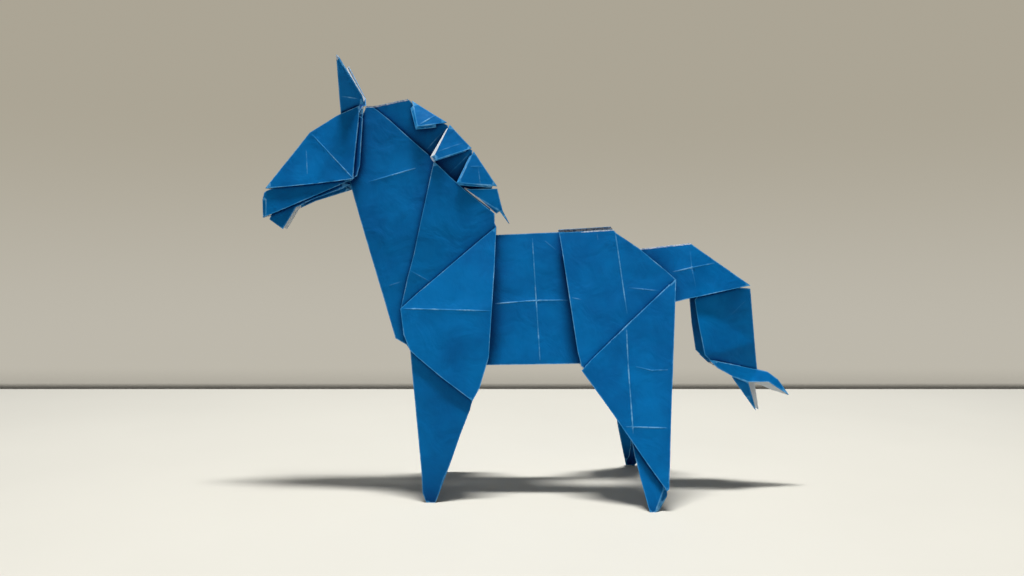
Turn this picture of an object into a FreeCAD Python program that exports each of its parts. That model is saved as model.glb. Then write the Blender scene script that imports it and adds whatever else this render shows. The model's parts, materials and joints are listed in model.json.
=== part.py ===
import FreeCAD, Part
import os

# A horse folded from one square of paper. It stands on four hoof tips, its head to -X and its tail to +X.
#
# The paper is modelled as its middle surface first: flat panels, and narrow strips where one layer turns
# round into the next at a fold. The surface is then given its thickness, half to each side.
#
# A spot on the paper is written (x, z), in millimetres, with x along the horse and z up. How far the paper
# lies from the horse's middle plane at a spot is its "out". The near half of the horse lies at -Y and the
# far half at +Y.

Vector = FreeCAD.Vector
NEAR = -1
FAR = 1

# -------------------------------------------------------------------------------------------------------
# Driving sizes, mm
# -------------------------------------------------------------------------------------------------------

paper_thickness = 0.14
layer_gap = 0.34          # middle to middle of two layers pressed together
ridge_half = 0.25         # half the width of a ridge, where the near half turns into the far half
hem_width = 3.0           # paper turned in along an open edge

back_height = 56.1        # the back, at the withers
back_climb = 0.6          # the back is this much higher at the hip
belly_height = 28.3
barrel_length = 13.7      # the part of the back that shows between the shoulder flap and the hip flap
belly_out = 5.4           # half the width of the body at the belly

shoulder_rise = 1.8       # the top corner of the shoulder flap, above the back
shoulder_top_out = 1.8
shoulder_width = 19.5     # along the cross crease of the shoulder flap
shoulder_crease_drop = 17.5
shoulder_out = 6.4
elbow_drop = 8.7          # the elbow, below the cross crease
elbow_out = 7.7
cuff_drop = 19.2          # the lowest corner of the upper foreleg, below the cross crease
cuff_out = 9.7
fore_hoof_ahead = 13.6    # the fore hoof, ahead of the withers
foreleg_out = 11.1

poll_ahead = 26.8         # the poll, ahead of the withers
poll_rise = 25.9          # and above them
crest_ahead = 13.4        # the spot where the two layers of the neck cross, ahead of the withers
crest_rise = 14.1
crest_out = 2.3
neck_base_out = 5.3
throat_ahead = 30.9
throat_rise = 7.8

cheek_ahead = 30.2        # the corner of the cheek, ahead of the withers
cheek_rise = 10.0
cheek_out = 5.4
forehead_ahead = 10.3     # the forehead, ahead of the cheek
forehead_rise = 10.4      # and above it
forehead_out = 0.4
nose_length = 20.0        # cheek to nose
nose_out = 0.8
muzzle_depth = 6.0
muzzle_out = 1.1
jaw_flap_drop = 2.6
ear_length = 11.4
ear_out = 6.0

mane_rise = 27.6          # the highest spot of the mane's ridge, above the withers
mane_out = 2.6            # how far the tips of the flaps stand from the middle plane
flap_gap = 0.3            # the flaps are pressed flatter than the rest

hip_out = 1.65            # the top corners of the hip flaps
hip_width = 11.6          # along the top edge
flank_out = 8.3
croup_behind = 38.3       # the corner of the croup, behind the withers
croup_height = 46.7
croup_out = 6.2
thigh_tip_height = 4.2    # the lowest tip of the thigh's outer layer
thigh_tip_out = 16.7
hind_hoof_behind = 32.0   # the hind hoof, behind the withers
hind_hoof_out = 16.9
far_hip_lift = 0.7        # the far hip flap stands a little higher

dock_behind = 42.5        # where the tail's ridge turns down, behind the withers
dock_drop = 1.8           # and below the back
dock_out = 3.4
tail_reach = 55.8
tail_top_height = 45.0
tail_end_height = 26.4
tail_end_out = 4.4
outer_tip_length = 9.1    # the tip that points backwards
inner_tip_length = 9.3    # the tip that points down

# -------------------------------------------------------------------------------------------------------
# Flat panels
# -------------------------------------------------------------------------------------------------------

class Leaf:
    """The flat plane of a panel, through three spots that are each given as (x, z, out)."""

    def __init__(self, first, second, third):
        ax = second[0] - first[0]
        az = second[1] - first[1]
        bx = third[0] - first[0]
        bz = third[1] - first[1]
        spread = ax * bz - bx * az
        self.by_x = ((second[2] - first[2]) * bz - (third[2] - first[2]) * az) / spread
        self.by_z = ((third[2] - first[2]) * ax - (second[2] - first[2]) * bx) / spread
        self.base = first[2] - self.by_x * first[0] - self.by_z * first[1]

    def out(self, spot):
        return self.base + self.by_x * spot[0] + self.by_z * spot[1]

    def place(self, spots, inward=0.0):
        """The spots, each with its out on this plane, moved towards the middle plane by inward."""
        return [(x, z, self.out((x, z)) - inward) for x, z in spots]


def turn(a, b, c):
    return (b[0] - a[0]) * (c[1] - a[1]) - (b[1] - a[1]) * (c[0] - a[0])


def cut_to_triangles(outline):
    """Splits a flat outline into triangles, each a triple of places in the outline."""
    places = list(range(len(outline)))
    area = sum(turn(outline[0], outline[i], outline[i + 1]) for i in range(1, len(outline) - 1))
    if area < 0:
        places.reverse()
    triangles = []
    while len(places) > 3:
        best = None
        for i in range(len(places)):
            a, b, c = places[i - 1], places[i], places[(i + 1) % len(places)]
            corner = turn(outline[a], outline[b], outline[c])
            if corner <= 1e-9:
                continue
            others = [p for p in places if p not in (a, b, c)]
            if any(lies_inside(outline[p], outline[a], outline[b], outline[c]) for p in others):
                continue
            reach = (outline[a][0] - outline[c][0]) ** 2 + (outline[a][1] - outline[c][1]) ** 2
            if best is None or reach < best[0]:
                best = (reach, i)
        i = best[1]
        triangles.append((places[i - 1], places[i], places[(i + 1) % len(places)]))
        del places[i]
    triangles.append(tuple(places))
    return triangles


def lies_inside(spot, a, b, c):
    return turn(a, b, spot) >= 0 and turn(b, c, spot) >= 0 and turn(c, a, spot) >= 0


# -------------------------------------------------------------------------------------------------------
# The sheet: its middle surface, then its thickness
# -------------------------------------------------------------------------------------------------------

class Sheet:
    """The middle surface of folded paper, gathered triangle by triangle. Spots that meet are one spot."""

    def __init__(self):
        self.spots = []
        self.known = {}
        self.triangles = []

    def number(self, point):
        key = (round(point.x, 4), round(point.y, 4), round(point.z, 4))
        if key not in self.known:
            self.known[key] = len(self.spots)
            self.spots.append(Vector(*key))
        return self.known[key]

    def triangle(self, a, b, c):
        corners = (self.number(a), self.number(b), self.number(c))
        if len(set(corners)) == 3:
            self.triangles.append(corners)

    def panel(self, side, spots):
        points = [Vector(x, side * out, z) for x, z, out in spots]
        for a, b, c in cut_to_triangles([(x, z) for x, z, out in spots]):
            self.triangle(points[a], points[b], points[c])

    def band(self, side, first, second):
        """A strip between two rows of spots of the same length."""
        self.strip([Vector(x, side * out, z) for x, z, out in first],
                   [Vector(x, side * out, z) for x, z, out in second])

    def ridge(self, near, far=None):
        """The strip across the middle plane, from a row of spots on the near half to the same on the far."""
        far = far or near
        self.strip([Vector(x, NEAR * out, z) for x, z, out in near],
                   [Vector(x, FAR * out, z) for x, z, out in far])

    def strip(self, first, second):
        for i in range(len(first) - 1):
            self.triangle(first[i], second[i], second[i + 1])
            self.triangle(first[i], second[i + 1], first[i + 1])

    def hem(self, side, leaf, fold, inner, gap=None):
        """Paper turned in at a fold: the fold's narrow strip, and the layer under the panel."""
        gap = gap or layer_gap
        turned = leaf.place(fold, gap)
        self.band(side, leaf.place(fold), turned)
        self.panel(side, turned + leaf.place(inner, gap)[::-1])

    def pleat(self, side, upper, fold, lower, valley):
        """Joins an upper panel's fold to a hidden valley on the panel below it, by a layer between them."""
        high = upper.place(fold)
        low = lower.place(valley)
        high_turned = []
        for x, z, out in high:
            gap = min(layer_gap, (out - lower.out((x, z))) / 2)
            high_turned.append((x, z, out - gap))
        low_turned = []
        for x, z, out in low:
            gap = min(layer_gap, (upper.out((x, z)) - out) / 2)
            low_turned.append((x, z, out + gap))
        self.band(side, high, high_turned)
        self.band(side, high_turned, low_turned)
        self.band(side, low_turned, low)

    def face_one_way(self):
        """Turns the triangles so that the paper's coloured side is the same side everywhere."""
        beside = {}
        for number, corners in enumerate(self.triangles):
            for i in range(3):
                edge = frozenset((corners[i], corners[(i + 1) % 3]))
                beside.setdefault(edge, []).append(number)
        crowded = [edge for edge, users in beside.items() if len(users) > 2]
        if crowded:
            meeting = [self.spots[i] for i in sorted(crowded[0])]
            raise ValueError("more than two panels meet at " + str(meeting))
        facing = {0: self.triangles[0]}
        waiting = [0]
        while waiting:
            number = waiting.pop()
            corners = facing[number]
            for i in range(3):
                a, b = corners[i], corners[(i + 1) % 3]
                for other in beside[frozenset((a, b))]:
                    if other == number:
                        continue
                    turned = self.triangles[other]
                    runs = [(turned[k], turned[(k + 1) % 3]) for k in range(3)]
                    if (a, b) in runs:
                        turned = (turned[0], turned[2], turned[1])
                    if other not in facing:
                        facing[other] = turned
                        waiting.append(other)
        if len(facing) < len(self.triangles):
            lost = [n for n in range(len(self.triangles)) if n not in facing][0]
            raise ValueError("a panel hangs loose at " + str(self.spots[self.triangles[lost][0]]))
        self.triangles = [facing[number] for number in range(len(self.triangles))]

    def offsets(self):
        """For each spot, the way to move so that every panel that meets there moves out by one."""
        normals = [[] for spot in self.spots]
        for corners in self.triangles:
            a, b, c = [self.spots[i] for i in corners]
            normal = (b - a).cross(c - a)
            normal.normalize()
            for i in corners:
                if all(normal.dot(other) < 0.99999 for other in normals[i]):
                    normals[i].append(normal)
        return [joint_offset(group) for group in normals]

    def solid(self, thickness):
        self.face_one_way()
        moves = self.offsets()
        count = len(self.spots)
        points = [spot + move * (thickness / 2) for spot, move in zip(self.spots, moves)]
        points += [spot - move * (thickness / 2) for spot, move in zip(self.spots, moves)]
        facets = []
        users = {}
        for a, b, c in self.triangles:
            facets.append((a, b, c))
            facets.append((a + count, c + count, b + count))
            for first, second in ((a, b), (b, c), (c, a)):
                users.setdefault(frozenset((first, second)), []).append((first, second))
        for runs in users.values():
            if len(runs) == 1:
                a, b = runs[0]
                facets.append((b, a, a + count))
                facets.append((b, a + count, b + count))
        shape = Part.Shape()
        shape.makeShapeFromMesh((points, facets), 0.0001)
        body = Part.Solid(shape.Shells[0])
        if body.Volume < 0:
            body.reverse()
        return body.removeSplitter()


def joint_offset(normals):
    """Solves for the one move that fits all the normals, as nearly as it can be done with a short move."""
    if len(normals) == 1:
        return normals[0]
    slack = 0.02
    xx = xy = xz = yy = yz = zz = 0.0
    total = Vector(0, 0, 0)
    for n in normals:
        xx += n.x * n.x
        xy += n.x * n.y
        xz += n.x * n.z
        yy += n.y * n.y
        yz += n.y * n.z
        zz += n.z * n.z
        total = total + n
    first = Vector(xx + slack, xy, xz)
    second = Vector(xy, yy + slack, yz)
    third = Vector(xz, yz, zz + slack)
    whole = first.dot(second.cross(third))
    move = second.cross(third) * total.x + third.cross(first) * total.y + first.cross(second) * total.z
    move = move * (1.0 / whole)
    if move.Length > 2.5:
        move = move * (2.5 / move.Length)
    return move


def spot_at(anchor, x, z):
    """The spot that lies x behind the anchor and z above it."""
    return (anchor[0] + x, anchor[1] + z)


def from_spot(anchor, *moves):
    """A row of spots, each given by how far it lies behind the anchor and above it."""
    return [spot_at(anchor, x, z) for x, z in moves]


# -------------------------------------------------------------------------------------------------------
# Corners of the horse. The outlines below are written from these.
# -------------------------------------------------------------------------------------------------------

withers = (0.0, back_height + shoulder_rise)
cross_height = withers[1] - shoulder_crease_drop
belly = (0.0, belly_height)
hip_front = (barrel_length, back_height + back_climb - 0.1)
shoulder_front = (-0.9 - shoulder_width, cross_height)
shoulder_back = (-0.9, cross_height)
elbow = (shoulder_front[0] + 2.2, cross_height - elbow_drop)
cuff = (shoulder_back[0] - 4.0, cross_height - cuff_drop)
fore_hoof = (-fore_hoof_ahead, 0.0)

poll = (-poll_ahead, withers[1] + poll_rise)
crest = (-crest_ahead, withers[1] + crest_rise)
throat = (-throat_ahead, withers[1] + throat_rise)
crown = (poll[0] + 7.6, withers[1] + mane_rise)

cheek = (-cheek_ahead, withers[1] + cheek_rise)
forehead = spot_at(cheek, -forehead_ahead, forehead_rise)
nose = (cheek[0] - nose_length, cheek[1] - 1.7)
chin = (nose[0], nose[1] - muzzle_depth)
ear_foot = spot_at(poll, -6.9, -1.4)
ear_heel = spot_at(poll, -2.5, 0.4)
ear_tip = spot_at(ear_foot, 0.3, ear_length)
brow_top = spot_at(poll, -7.8, -2.1)

hip_back = spot_at(hip_front, hip_width, 0.7)
flank = (barrel_length + 4.5, belly_height - 0.6)
croup = (croup_behind, croup_height)
thigh_tip = (hind_hoof_behind + 2.9, thigh_tip_height)
hind_hoof = (hind_hoof_behind, 0.0)

dock = (dock_behind, back_height - dock_drop)
rump_front = spot_at(hip_back, 2.7, -4.6)
tail_top = (tail_reach, tail_top_height)
dock_corner = (dock[0] + 0.8, tail_top[1] - 2.3)
tail_foot = (tail_reach + 1.9, tail_end_height)
cuff_corner = spot_at(tail_foot, -11.7, 2.8)

# -------------------------------------------------------------------------------------------------------
# Body and forelegs
# -------------------------------------------------------------------------------------------------------

body_leaf = Leaf((0, back_height, ridge_half), (barrel_length, back_height + back_climb, ridge_half),
                 (0, belly_height, belly_out))
shoulder_leaf = Leaf(withers + (shoulder_top_out,), shoulder_front + (shoulder_out - 0.3,),
                     shoulder_back + (shoulder_out + 0.1,))
foreleg_leaf = Leaf(shoulder_front + (shoulder_out - 0.3,), shoulder_back + (shoulder_out + 0.1,),
                    cuff + (cuff_out,))
shank_leaf = Leaf(elbow + (elbow_out - 0.75,), cuff + (cuff_out - 0.75,), fore_hoof + (foreleg_out,))

body_valley = from_spot(withers, (-3.2, -10.4), (-4.6, -17.9)) + from_spot(belly, (-6.5, 2.4))
shoulder_edge = [spot_at(withers, -0.4, -9.4), shoulder_back]
foreleg_edge = [shoulder_back, spot_at(shoulder_back, -0.7, -10.2)]
hip_valley = from_spot(hip_front, (1.3, -4.0), (4.1, -13.8)) + from_spot(belly, (barrel_length + 8.4, 3.0))


def body(sheet, side):
    fold = from_spot(belly, (barrel_length + 8.9, 0.4), (-6.8, -0.1))
    inner = from_spot(belly, (barrel_length + 7.8, hem_width), (-6.0, hem_width))
    sheet.panel(side, body_leaf.place(back_line() + hip_valley + fold + body_valley[::-1]))
    sheet.hem(side, body_leaf, fold, inner)


def back_line():
    return [(-2.0, back_height - 0.1), (barrel_length + 1.3, back_height + back_climb + 0.05)]


def back_ridge(sheet):
    sheet.ridge(body_leaf.place(back_line()))


diagonal_fold = from_spot(shoulder_front, (3.5, 3.1)) + from_spot(withers, (-9.4, -8.0), (-3.4, -2.9))
elbow_fold = from_spot(elbow, (1.4, -1.2), (6.7, -5.5)) + from_spot(cuff, (-0.8, 0.7))


def shoulder_and_foreleg(sheet, side):
    sheet.panel(side, shoulder_leaf.place([withers] + shoulder_edge + [shoulder_front] + diagonal_fold))
    back = foreleg_edge[1:] + [spot_at(cuff, 1.5, 2.7), cuff]
    lower = back + elbow_fold[::-1] + [elbow, spot_at(shoulder_front, 0.8, -5.5)]
    sheet.panel(side, foreleg_leaf.place([shoulder_front, shoulder_back] + lower))
    return_layer(sheet, side)


def return_layer(sheet, side):
    """The layer behind the shoulder flap's back edge, which runs forward to the valley on the body."""
    sheet.pleat(side, shoulder_leaf, shoulder_edge, body_leaf, body_valley[:2])
    sheet.pleat(side, foreleg_leaf, foreleg_edge, body_leaf, body_valley[1:])


def shank(sheet, side):
    front = from_spot(elbow, (0.8, -8.2))
    front += from_spot(fore_hoof, (-3.0, 15.9), (-2.0, 6.7), (-1.7, 1.9), (-0.8, -0.4))
    back = from_spot(fore_hoof, (0.7, -0.4), (1.3, 0.9), (2.6, 4.7), (3.6, 7.1))
    back += from_spot(cuff, (-2.6, -7.0), (-0.6, -1.9))
    valley = from_spot(elbow, (2.8, 1.9), (8.9, -2.8)) + from_spot(cuff, (0.1, 3.1))
    outline = [elbow] + front + back + [spot_at(cuff, -0.05, -0.1)] + valley[::-1]
    sheet.panel(side, shank_leaf.place(outline))
    sheet.pleat(side, foreleg_leaf, elbow_fold, shank_leaf, valley)
    inner = from_spot(fore_hoof, (-0.5, -0.4), (-1.0, 1.9), (-1.3, 6.7))
    inner += from_spot(cuff, (-10.8, -7.2), (-11.3, -1.7))
    sheet.hem(side, shank_leaf, [back[0], back[1], back[3], back[4], back[5]], inner)


# -------------------------------------------------------------------------------------------------------
# Neck
# -------------------------------------------------------------------------------------------------------

neck_leaf = Leaf(throat + (2.9,), elbow + (elbow_out - 2.1,), crest + (crest_out - 1.1,))
crest_leaf = Leaf(crest + (crest_out,), shoulder_front + (neck_base_out + 0.3,), withers + (1.2,))
mane_leaf = Leaf((0, 0, 0.12), (1, 0, 0.12), (0, 1, 0.12))
flap_roots = [
    from_spot(crown, (1.9, -2.8), (5.5, -4.6)),
    from_spot(crest, (2.9, 5.9), (5.8, 3.0)),
    from_spot(withers, (-5.3, 14.1), (-2.5, 9.9)),
    from_spot(withers, (-1.2, 6.7), (-0.6, 5.1)),
]

poll_fold = from_spot(poll, (1.2, -0.9), (3.7, -2.9)) + from_spot(crest, (-4.6, 4.3), (-1.5, 1.6))
head_valley = from_spot(poll, (-3.8, -5.3)) + from_spot(cheek, (-1.8, 4.1), (-1.8, 1.6))
crest_fold = from_spot(crest, (-0.4, -2.0), (-1.9, -9.5)) + from_spot(shoulder_front, (2.7, 11.0), (1.4, 6.1))


def neck(sheet, side):
    bottom = from_spot(elbow, (-0.2, -0.2), (-1.0, 0.9), (-3.3, 2.3))
    front = [spot_at(shoulder_front, -3.4, 1.4), spot_at(throat, 3.1, -10.7), throat]
    valley = from_spot(crest, (2.0, -2.4), (0.5, -9.9)) + from_spot(shoulder_front, (5.0, 10.5), (3.7, 5.7))
    top = [spot_at(poll, -1.3, 0.0), poll] + poll_fold + [crest]
    outline = head_valley[::-1] + top + valley + [spot_at(elbow, 1.6, 1.5)] + bottom + front
    sheet.panel(side, neck_leaf.place(outline))
    sheet.pleat(side, crest_leaf, crest_fold, neck_leaf, valley)
    lining = [spot_at(elbow, 0.4, 5.3), spot_at(shoulder_front, -0.6, 3.6)]
    lining += from_spot(throat, (6.3, -9.7), (3.3, 0.1))
    sheet.hem(side, neck_leaf, [bottom[2]] + front, lining)


def crest_panel(sheet, side):
    hidden = from_spot(shoulder_front, (6.1, 0.1)) + from_spot(withers, (-6.8, -11.0), (-1.0, -6.0))
    edge = from_spot(withers, (-0.4, 0.8), (-0.4, 2.9), (-6.5, 7.7)) + from_spot(crest, (3.3, -3.2))
    sheet.panel(side, crest_leaf.place([crest] + crest_fold + [shoulder_front] + hidden + [withers] + edge))
    sheet.pleat(side, shoulder_leaf, diagonal_fold, crest_leaf, hidden)


def mane_base(sheet, side):
    """The innermost layer of the neck. Its top edge is the ridge that carries the flaps of the mane."""
    valley = from_spot(poll, (-1.1, -6.0), (1.3, -8.8)) + from_spot(crest, (-7.6, -0.5), (-4.4, -3.0))
    top = mane_top() + mane_roots()
    foot = from_spot(withers, (-2.0, 2.6), (-9.5, 4.6))
    sheet.panel(side, mane_leaf.place(top + foot + valley[::-1] + [spot_at(poll, -2.8, -3.8)]))
    sheet.pleat(side, neck_leaf, poll_fold, mane_leaf, valley)


def mane_top():
    return from_spot(poll, (-1.5, 0.2), (0.0, 0.2)) + [crown, spot_at(crown, 0.6, -0.5)]


def mane_roots():
    """The top edge of the innermost layer below the flaps. It dips to each flap's root and rises between."""
    row = [spot_at(crown, 1.3, -1.3)] + flap_roots[0] + from_spot(crown, (7.9, -5.2), (8.7, -5.7))
    row += flap_roots[1] + from_spot(crest, (7.7, 2.8), (8.2, 2.5))
    row += flap_roots[2] + [spot_at(withers, -0.9, 8.7)] + flap_roots[3]
    return row


def mane_ridge(sheet):
    sheet.ridge(mane_leaf.place(mane_top()))


# -------------------------------------------------------------------------------------------------------
# Head and ears
# -------------------------------------------------------------------------------------------------------

brow_leaf = Leaf(forehead + (forehead_out,), cheek + (cheek_out,), spot_at(poll, -2.5, 0.1) + (2.0,))
face_leaf = Leaf(forehead + (forehead_out,), cheek + (cheek_out,), nose + (nose_out,))
under_brow = spot_at(cheek, -2.8, 3.1)
collar_leaf = Leaf(spot_at(poll, -1.8, -0.1) + (1.6,), cheek + (cheek_out - 1.2,),
                   under_brow + (brow_leaf.out(under_brow) - 0.8,))
muzzle_leaf = Leaf(spot_at(nose, 0.0, -0.6) + (0.42,), chin + (muzzle_out,), cheek + (cheek_out - 0.7,))
jaw_leaf = Leaf(spot_at(chin, 0.6, -0.7) + (muzzle_out - 0.5,), spot_at(cheek, -0.8, -1.2) + (4.0,),
                spot_at(cheek, -9.8, 0.1) + (1.7,))
ear_leaf = Leaf(ear_foot + (0.75,), ear_tip + (ear_out,), ear_heel + (1.45,))

ear_fold = from_spot(poll, (-6.7, -1.6), (-3.0, -0.15))
ear_valley = from_spot(poll, (-6.5, -2.5), (-3.3, -1.2))
brow_fold = from_spot(poll, (-2.8, -3.6)) + from_spot(cheek, (-0.1, 3.1), (-0.1, 1.3))
collar_valley = from_spot(poll, (-5.0, -5.2)) + from_spot(cheek, (-3.0, 3.5), (-3.0, 2.5))
collar_fold = from_spot(poll, (-2.0, -2.6)) + from_spot(cheek, (1.0, 3.1), (0.4, 0.7))


def brow(sheet, side):
    top = [brow_top] + ear_fold + [spot_at(poll, -2.5, 0.1)]
    sheet.panel(side, brow_leaf.place([forehead] + top + brow_fold + [cheek]))
    sheet.pleat(side, brow_leaf, brow_fold, collar_leaf, collar_valley)


def collar(sheet, side):
    """The narrow layer that shows behind the brow, between it and the neck."""
    outline = collar_valley + [spot_at(cheek, -0.3, 0.3)] + collar_fold[::-1] + [spot_at(poll, -1.8, -0.2)]
    sheet.panel(side, collar_leaf.place(outline))
    sheet.pleat(side, collar_leaf, collar_fold, neck_leaf, head_valley)


def face(sheet, side):
    fold = [spot_at(nose, 4.5, 0.4)] + from_spot(cheek, (-8.0, -0.68), (-3.6, -0.3))
    valley = [spot_at(nose, 5.2, 1.6)] + from_spot(cheek, (-8.2, 0.5), (-4.2, 0.9))
    sheet.panel(side, face_leaf.place([forehead, nose] + fold + [cheek]))
    sheet.pleat(side, face_leaf, fold, muzzle_leaf, valley)
    muzzle(sheet, side, valley)


def muzzle(sheet, side, valley):
    fold = from_spot(chin, (2.0, 0.8), (9.8, 3.85)) + [spot_at(cheek, -3.2, -1.1)]
    lower_valley = from_spot(chin, (2.0, 2.6), (9.2, 5.3)) + [spot_at(cheek, -4.4, -0.3)]
    outline = [spot_at(nose, 0.0, -0.6)] + valley + [spot_at(cheek, -0.15, -0.1)]
    outline += fold[::-1] + [chin, spot_at(nose, 0.0, -2.4)]
    sheet.panel(side, muzzle_leaf.place(outline))
    sheet.pleat(side, muzzle_leaf, fold, jaw_leaf, lower_valley)
    jaw(sheet, side, lower_valley)


def jaw(sheet, side, valley):
    flap = from_spot(chin, (0.65, -0.7), (3.85, -0.2 - jaw_flap_drop), (6.7, 1.8))
    line = from_spot(chin, (7.1, 2.05), (10.1, 3.5)) + from_spot(cheek, (-2.4, -1.7))
    inner = from_spot(chin, (7.3, 3.8), (9.9, 5.1)) + [spot_at(cheek, -3.8, -0.7)]
    sheet.panel(side, jaw_leaf.place(valley + [spot_at(cheek, -0.9, -1.1)] + line[::-1] + flap[::-1]))
    sheet.hem(side, jaw_leaf, line, inner, gap=0.25)


def nose_front(sheet):
    front = muzzle_leaf.place(from_spot(nose, (0.0, -0.6), (0.0, -2.4)) + [chin])
    middle = from_spot(nose, (-0.5, -0.9), (-0.9, -2.4)) + [spot_at(chin, -0.9, -0.3)]
    middle = [spot + (0.0,) for spot in middle]
    for side in (NEAR, FAR):
        sheet.band(side, front, middle)
    sheet.ridge(face_leaf.place([nose, forehead]))
    sheet.ridge(brow_leaf.place([forehead, brow_top]))


def ear(sheet, side):
    back = [ear_tip, spot_at(poll, -2.3, 1.4), ear_heel]
    outline = [ear_valley[0], ear_foot, spot_at(poll, -6.8, 2.9)] + back + [ear_valley[1]]
    sheet.panel(side, ear_leaf.place(outline))
    sheet.pleat(side, brow_leaf, ear_fold, ear_leaf, ear_valley)
    turned = [spot_at(ear_tip, 0.3, -0.1) + (ear_out - 0.45,), spot_at(poll, -2.0, 2.2) + (2.0,),
              spot_at(poll, -1.7, 0.5) + (0.9,)]
    sheet.band(side, ear_leaf.place(back), turned)


# -------------------------------------------------------------------------------------------------------
# Hind legs
# -------------------------------------------------------------------------------------------------------

hip_leaf = Leaf(hip_front + (hip_out,), spot_at(flank, -0.6, 2.4) + (flank_out - 0.4,),
                croup + (croup_out - 0.6,))
thigh_leaf = Leaf(croup + (croup_out + 0.1,), flank + (flank_out + 0.8,), thigh_tip + (thigh_tip_out,))
shin_leaf = Leaf(spot_at(thigh_tip, -6.5, 8.8) + (thigh_tip_out - 3.85,),
                 spot_at(hind_hoof, -0.8, 0.8) + (hind_hoof_out - 0.1,), thigh_tip + (thigh_tip_out - 0.75,))

hip_edge = from_spot(hip_front, (0.7, -4.2), (2.1, -13.8)) + from_spot(flank, (-0.7, 3.5))
thigh_fold = from_spot(croup, (-1.3, -1.2), (-10.6, -9.8)) + from_spot(flank, (3.2, 3.2), (0.7, 0.7))
thigh_valley = from_spot(croup, (-1.7, -5.1), (-8.1, -12.5)) + from_spot(flank, (5.7, 0.6), (3.1, -2.0))
tail_fold = from_spot(hip_back, (3.1, -2.5), (5.3, -4.0)) + from_spot(croup, (-1.7, 1.5))
tail_valley = from_spot(hip_back, (2.7, -5.7), (4.9, -7.7)) + from_spot(croup, (-3.7, -1.7))


def hip(sheet, side):
    lift = far_hip_lift if side == FAR else 0.0
    top = from_spot(hip_back, (0.0, lift), (0.7, lift - 0.8))
    bottom = from_spot(flank, (-0.1, 0.8), (2.0, -0.9))
    outline = [spot_at(hip_front, 0.0, lift)] + top + tail_fold + [croup] + thigh_valley + bottom[::-1]
    sheet.panel(side, hip_leaf.place(outline + hip_edge[::-1]))
    sheet.pleat(side, hip_leaf, hip_edge, body_leaf, hip_valley)
    sheet.pleat(side, hip_leaf, tail_fold, rump_leaf, tail_valley)


def thigh(sheet, side):
    back = from_spot(thigh_tip, (0.45, 0.4), (1.1, 11.8), (1.6, 18.8))
    back += from_spot(croup, (-1.4, -18.9), (-0.6, -7.2))
    front = from_spot(flank, (-0.1, -0.1), (6.2, -8.8)) + shin_fold + [thigh_tip]
    sheet.panel(side, thigh_leaf.place([croup] + thigh_fold + front + back))
    sheet.pleat(side, thigh_leaf, thigh_fold, hip_leaf, thigh_valley)
    sheet.pleat(side, thigh_leaf, shin_fold, shin_leaf, shin_valley)
    inner = from_spot(thigh_tip, (-1.6, 14.8), (-1.3, 19.1)) + from_spot(croup, (-4.4, -18.7), (-3.7, -9.7))
    sheet.hem(side, thigh_leaf, back[1:], inner)


shin_fold = from_spot(thigh_tip, (-8.6, 12.1), (-6.3, 8.9), (-3.5, 4.9))
shin_valley = from_spot(thigh_tip, (-5.1, 15.0), (-3.5, 11.0), (-1.7, 6.0))


def shin(sheet, side):
    """The core of the hind leg, which shows below the thigh and ends in the hoof."""
    front = from_spot(thigh_tip, (-8.0, 15.1), (-6.5, 8.8), (-6.0, 6.2), (-4.8, 1.1))
    front += from_spot(hind_hoof, (-0.8, 0.8), (-0.5, -0.5))
    heel = [spot_at(hind_hoof, 0.2, -0.5)] + from_spot(thigh_tip, (-0.65, 0.0), (-0.4, 1.4))
    inner = from_spot(thigh_tip, (-3.3, 8.4), (-3.0, 5.8), (-2.6, 1.8), (-2.9, -1.6))
    sheet.panel(side, shin_leaf.place(shin_valley + heel[::-1] + front[::-1]))
    turned = [spot_at(hind_hoof, 1.0, -0.5) + (hind_hoof_out - 0.45,),
              spot_at(thigh_tip, 0.2, -1.2) + (thigh_tip_out - 1.1,),
              spot_at(thigh_tip, 0.1, 1.2) + (thigh_tip_out - 1.7,)]
    sheet.band(side, shin_leaf.place(heel), turned)
    sheet.hem(side, shin_leaf, front[1:5], inner)


# -------------------------------------------------------------------------------------------------------
# Tail
# -------------------------------------------------------------------------------------------------------

rump_leaf = Leaf(rump_front + (ridge_half,), dock + (ridge_half,), dock_corner + (dock_out,))
slope_leaf = Leaf(dock + (ridge_half,), tail_top + (ridge_half,), dock_corner + (dock_out,))
cuff_end_leaf = Leaf(cuff_corner + (tail_end_out + 0.4,), spot_at(tail_foot, 0.1, 0.0) + (0.55,),
                     spot_at(tail_foot, -6.2, -1.0) + (3.4,))


def tail(sheet, side):
    under = from_spot(dock_corner, (0.0, 0.0), (-1.4, -0.3), (-7.1, -1.7))
    sheet.panel(side, rump_leaf.place([rump_front, dock] + under + tail_valley[::-1]))
    fold = from_spot(dock_corner, (0.9, 0.2), (3.1, 0.63), (5.3, 1.05))
    sheet.panel(side, slope_leaf.place([dock, tail_top] + fold[::-1] + [dock_corner]))
    hang(sheet, side, fold)


def tail_ridges(sheet):
    sheet.ridge(rump_leaf.place([rump_front, dock]))
    sheet.ridge(slope_leaf.place([dock, tail_top]))
    sheet.ridge(tail_back())
    sheet.ridge(tip_ridge())


def tail_back():
    """The ridge at the back of the part of the tail that hangs down."""
    row = [spot_at(tail_top, 0.0, -0.7), spot_at(tail_foot, -0.7, 6.0), tail_foot]
    return [spot + (ridge_half,) for spot in row]


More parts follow.
